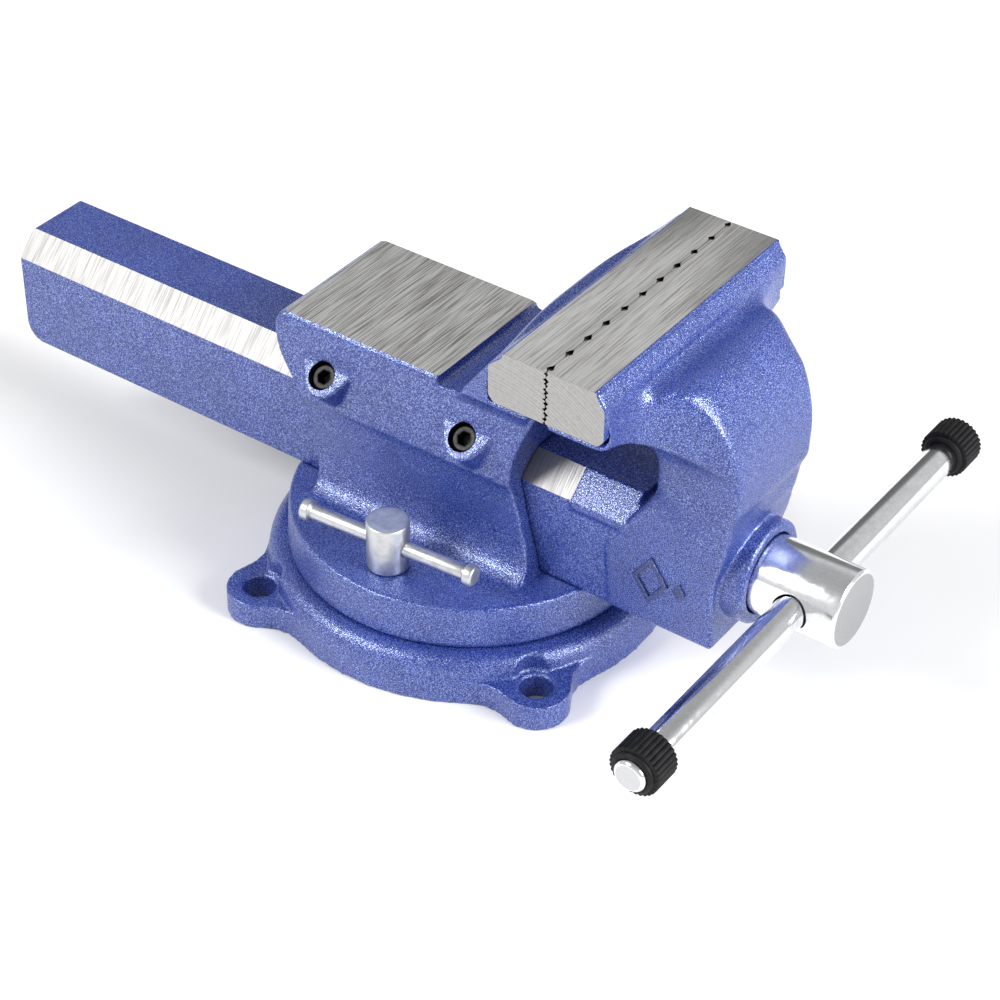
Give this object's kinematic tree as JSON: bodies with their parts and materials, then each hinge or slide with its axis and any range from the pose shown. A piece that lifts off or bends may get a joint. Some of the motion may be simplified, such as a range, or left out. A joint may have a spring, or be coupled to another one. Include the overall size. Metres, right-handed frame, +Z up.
{
  "type": "bench vise",
  "caption": "Blue cast-iron engineer's bench vise with steel jaws, anvil, sliding jaw on a lead screw, tommy-bar handle and lockable swivel base with bolt lugs.",
  "frame": {"origin": "where the swivel axis meets the bench, at the base's underside", "axes": "+X along the lead screw towards the handle, +Z up, -Y the side whose mark and bosses face an operator standing left of the handle"},
  "size_m": [0.4907, 0.304, 0.205],
  "materials": {
    "blue_paint": "hammered blue enamel on cast iron, machined lands bare",
    "machined_steel": "ground",
    "chrome": "polished",
    "zinc_plate": "dull zinc plate",
    "black_steel": "black oxide",
    "rubber": "ribbed, matt",
    "bronze": "cast bronze, machined"
  },
  "bodies": {
    "base": {"base_plate": "blue_paint", "pivot_pin": "machined_steel"},
    "swivel": {"swivel_body": "blue_paint", "fixed_jaw_block": "machined_steel", "spindle_nut": "bronze", "nut_bolt_rear": "black_steel", "nut_bolt_front": "black_steel", "fixed_jaw_screw_left": "black_steel", "lock_nut_left": "zinc_plate", "gib_strip_left": "bronze", "set_screw_rear_left": "black_steel", "set_screw_front_left": "black_steel", "fixed_jaw_screw_right": "black_steel", "lock_nut_right": "zinc_plate", "gib_strip_right": "bronze", "set_screw_rear_right": "black_steel", "set_screw_front_right": "black_steel"},
    "slider": {"moving_jaw": "blue_paint", "moving_jaw_block": "machined_steel", "moving_jaw_screw_left": "black_steel", "moving_jaw_screw_right": "black_steel", "thrust_washer": "bronze"},
    "screw": {"lead_screw": "chrome", "screw_collar": "machined_steel", "collar_pin": "machined_steel"},
    "handle": {"handle_bar": "chrome", "handle_cap_left": "rubber", "handle_cap_right": "rubber"},
    "lock_left": {"lock_bolt_left": "zinc_plate"},
    "lock_right": {"lock_bolt_right": "zinc_plate"},
    "bar_left": {"lock_bar_left": "zinc_plate"},
    "bar_right": {"lock_bar_right": "zinc_plate"}
  },
  "joints": [
    {"name": "swivel_turn", "type": "hinge", "parent": "base", "child": "swivel", "pos_m": [0, 0, 0.0257], "axis": [0, 0, 1], "continuous": true},
    {"name": "jaw_slide", "type": "slide", "parent": "swivel", "child": "slider", "axis": [1, 0, 0], "range_m": [0, 0.15]},
    {"name": "screw_spin", "type": "hinge", "parent": "slider", "child": "screw", "pos_m": [0.16, 0, 0.0805], "axis": [1, 0, 0], "range_deg": [0, 9000]},
    {"name": "handle_slide", "type": "slide", "parent": "screw", "child": "handle", "axis": [0, 1, 0], "range_m": [-0.108, 0.111]},
    {"name": "lock_turn_left", "type": "hinge", "parent": "swivel", "child": "lock_left", "pos_m": [0.001, -0.0697, 0.06], "axis": [0, 0, 1], "range_deg": [-20, 12]},
    {"name": "lock_bar_slide_left", "type": "slide", "parent": "lock_left", "child": "bar_left", "axis": [0.9976, 0.0698, 0], "range_m": [-0.028, 0.028]},
    {"name": "lock_turn_right", "type": "hinge", "parent": "swivel", "child": "lock_right", "pos_m": [0.001, 0.0697, 0.06], "axis": [0, 0, 1], "range_deg": [-20, 12]},
    {"name": "lock_bar_slide_right", "type": "slide", "parent": "lock_right", "child": "bar_right", "axis": [0.9976, 0.0698, 0], "range_m": [-0.028, 0.028]}
  ],
  "couplings": [
    {"joint": "jaw_slide", "follows": "screw_spin", "m_per_rad": 0.00095493}
  ]
}
